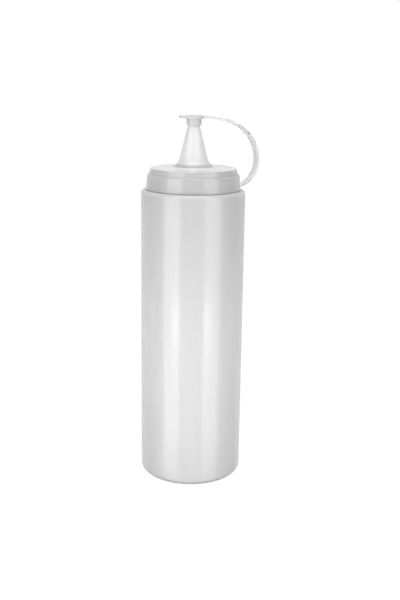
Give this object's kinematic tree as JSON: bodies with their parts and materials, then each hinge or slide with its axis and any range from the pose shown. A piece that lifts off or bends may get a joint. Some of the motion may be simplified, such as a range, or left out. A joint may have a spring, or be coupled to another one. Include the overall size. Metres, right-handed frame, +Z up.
{
  "type": "squeeze bottle dispenser",
  "caption": "Translucent squeeze bottle for sauces with a screw-on cone nozzle cap and a tip cap on a moulded tether.",
  "frame": {"origin": "centre of the flat base, on the bottle's axis", "axes": "+Z up along the bottle's axis; +X to the right and -Y towards the viewer, with the tether reaching out between +X and +Y"},
  "size_m": [0.0796, 0.07, 0.2479],
  "materials": {
    "bottle_wall": "translucent natural LDPE, softly glossy",
    "cap_plastic": "translucent natural LDPE, glossy",
    "tether_plastic": "translucent natural LDPE, glossy",
    "gasket_foam": "matt soft white ring"
  },
  "bodies": {
    "bottle": {"bottle_body": "bottle_wall"},
    "seal": {"seal_gasket": "gasket_foam"},
    "cap": {"screw_cap": "cap_plastic"},
    "link_1": {"tether_link_1": "tether_plastic"},
    "link_2": {"tether_link_2": "tether_plastic"},
    "link_3": {"tether_link_3": "tether_plastic"},
    "link_4": {"tether_link_4": "tether_plastic"},
    "link_5": {"tether_link_5": "tether_plastic"},
    "link_6": {"tether_link_6": "tether_plastic"},
    "link_7": {"tether_link_7": "tether_plastic"},
    "link_8": {"tether_link_8": "tether_plastic"},
    "tip": {"tip_cap": "tether_plastic"}
  },
  "joints": [
    {"name": "cap_lift", "type": "slide", "parent": "bottle", "child": "seal", "axis": [0, 0, 1], "range_m": [0, 0.0127]},
    {"name": "cap_turn", "type": "hinge", "parent": "seal", "child": "cap", "pos_m": [0, 0, 0.2], "axis": [0, 0, 1], "range_deg": [0, 1080]},
    {"name": "tether_root", "type": "hinge", "parent": "cap", "child": "link_1", "pos_m": [0.03164, 0.01543, 0.20035], "axis": [-0.4384, 0.8988, 0], "range_deg": [-14.7, 0]},
    {"name": "tether_bend_1", "type": "hinge", "parent": "link_1", "child": "link_2", "pos_m": [0.03898, 0.01901, 0.20556], "axis": [-0.4384, 0.8988, 0], "range_deg": [0, 1.4]},
    {"name": "tether_bend_2", "type": "hinge", "parent": "link_2", "child": "link_3", "pos_m": [0.04273, 0.02084, 0.2143], "axis": [-0.4384, 0.8988, 0], "range_deg": [0, 9.8]},
    {"name": "tether_bend_3", "type": "hinge", "parent": "link_3", "child": "link_4", "pos_m": [0.04231, 0.02063, 0.22398], "axis": [-0.4384, 0.8988, 0], "range_deg": [0, 19.6]},
    {"name": "tether_bend_4", "type": "hinge", "parent": "link_4", "child": "link_5", "pos_m": [0.03868, 0.01887, 0.23279], "axis": [-0.4384, 0.8988, 0], "range_deg": [0, 30.45]},
    {"name": "tether_bend_5", "type": "hinge", "parent": "link_5", "child": "link_6", "pos_m": [0.03246, 0.01583, 0.23957], "axis": [-0.4384, 0.8988, 0], "range_deg": [0, 35]},
    {"name": "tether_bend_6", "type": "hinge", "parent": "link_6", "child": "link_7", "pos_m": [0.02464, 0.01202, 0.24385], "axis": [-0.4384, 0.8988, 0], "range_deg": [0, 32.9]},
    {"name": "tether_bend_7", "type": "hinge", "parent": "link_7", "child": "link_8", "pos_m": [0.01617, 0.00788, 0.24606], "axis": [-0.4384, 0.8988, 0], "range_deg": [0, 28]},
    {"name": "tip_cap_bend", "type": "hinge", "parent": "link_8", "child": "tip", "pos_m": [0.00749, 0.00365, 0.24694], "axis": [-0.4384, 0.8988, 0], "range_deg": [0, 25.2]}
  ],
  "couplings": [
    {"joint": "cap_lift", "follows": "cap_turn", "m_per_rad": 0.00067322},
    {"joint": "tether_root", "follows": "tip_cap_bend", "ratio": -0.58333},
    {"joint": "tether_bend_1", "follows": "tip_cap_bend", "ratio": 0.055556},
    {"joint": "tether_bend_2", "follows": "tip_cap_bend", "ratio": 0.38889},
    {"joint": "tether_bend_3", "follows": "tip_cap_bend", "ratio": 0.77778},
    {"joint": "tether_bend_4", "follows": "tip_cap_bend", "ratio": 1.2083},
    {"joint": "tether_bend_5", "follows": "tip_cap_bend", "ratio": 1.3889},
    {"joint": "tether_bend_6", "follows": "tip_cap_bend", "ratio": 1.3056},
    {"joint": "tether_bend_7", "follows": "tip_cap_bend", "ratio": 1.1111}
  ]
}
